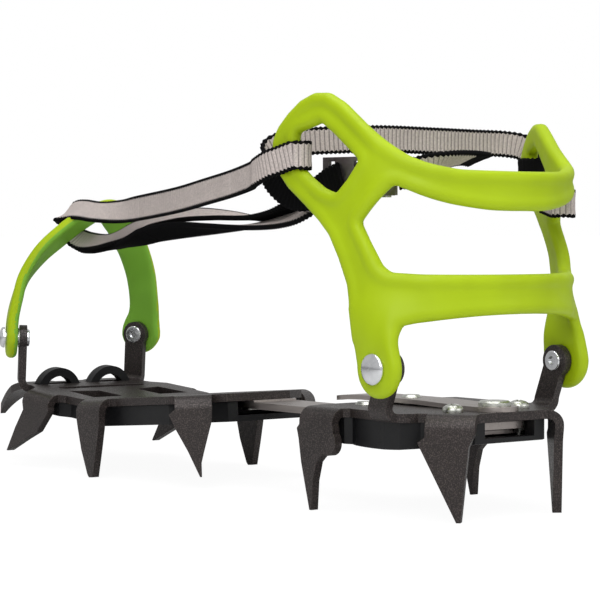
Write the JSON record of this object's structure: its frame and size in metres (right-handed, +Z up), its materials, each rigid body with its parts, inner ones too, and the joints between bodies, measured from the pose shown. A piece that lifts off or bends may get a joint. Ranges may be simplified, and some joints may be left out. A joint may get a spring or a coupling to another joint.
{
  "type": "mountaineering crampon",
  "caption": "Strap-on mountaineering crampon: pointed steel toe and heel frames on a sliding length bar, moulded heel basket, hinged toe bail and webbing harness.",
  "frame": {"origin": "centre of the footprint on the ground, under the point tips", "axes": "+Y towards the toe, +X towards the right seen from behind, +Z up"},
  "size_m": [0.1206, 0.3032, 0.1404],
  "materials": {
    "frame_steel": "fine textured dark brown-black coat",
    "black_plastic": "satin moulded",
    "bar_steel": "rolled spring steel",
    "zinc": "zinc plated",
    "polished": "polished",
    "green_plastic": "soft satin moulded",
    "buckle_steel": "satin",
    "webbing": "woven, black edges and back"
  },
  "bodies": {
    "front_frame": {"front_plate": "frame_steel", "front_antiball": "black_plastic", "link_bar": "bar_steel", "bar_rivets": "zinc", "toe_rivets": "polished", "toe_washers": "zinc", "strap_side_mid": "webbing", "strap_return_mid": "webbing", "strap_toe_loop": "webbing"},
    "heel_frame": {"heel_plate": "frame_steel", "heel_antiball": "black_plastic", "bar_guides": "bar_steel", "guide_rivets": "zinc", "heel_screws": "zinc", "heel_nuts": "zinc", "heel_rivets": "polished", "heel_washers": "zinc", "lever_rivet": "zinc", "lever_tail": "bar_steel"},
    "lock_lever": {"lock_lever": "bar_steel", "lock_pin": "zinc"},
    "heel_basket": {"heel_basket": "green_plastic", "buckle_frame": "buckle_steel", "buckle_pin": "zinc", "strap_instep": "webbing", "strap_anchor": "webbing", "strap_tail": "webbing", "strap_side_rear": "webbing", "strap_return_rear": "webbing"},
    "buckle_lever": {"buckle_lever": "buckle_steel"},
    "toe_bail": {"toe_bail": "green_plastic"}
  },
  "joints": [
    {"name": "length_slide", "type": "slide", "parent": "front_frame", "child": "heel_frame", "axis": [0, -1, 0], "range_m": [-0.032, 0.024], "deforming": ["strap_side_mid", "strap_return_mid"]},
    {"name": "lock_lever_flex", "type": "hinge", "parent": "heel_frame", "child": "lock_lever", "pos_m": [-0.0074, -0.12826, 0.0358], "axis": [1, 0, 0], "range_deg": [0, 12], "stiffness_Nm_per_rad": 0.4},
    {"name": "heel_basket_pivot", "type": "hinge", "parent": "heel_frame", "child": "heel_basket", "pos_m": [-0.0074, -0.12741, 0.05], "axis": [1, 0, 0], "range_deg": [-20, 20], "deforming": ["strap_side_rear", "strap_return_rear"]},
    {"name": "toe_bail_pivot", "type": "hinge", "parent": "front_frame", "child": "toe_bail", "pos_m": [-0.0074, 0.11774, 0.05127], "axis": [1, 0, 0], "range_deg": [-10, 10], "deforming": ["strap_toe_loop"]},
    {"name": "buckle_lever_pivot", "type": "hinge", "parent": "heel_basket", "child": "buckle_lever", "pos_m": [-0.03558, -0.11378, 0.113], "axis": [0, 0, -1], "range_deg": [0, 70]}
  ]
}
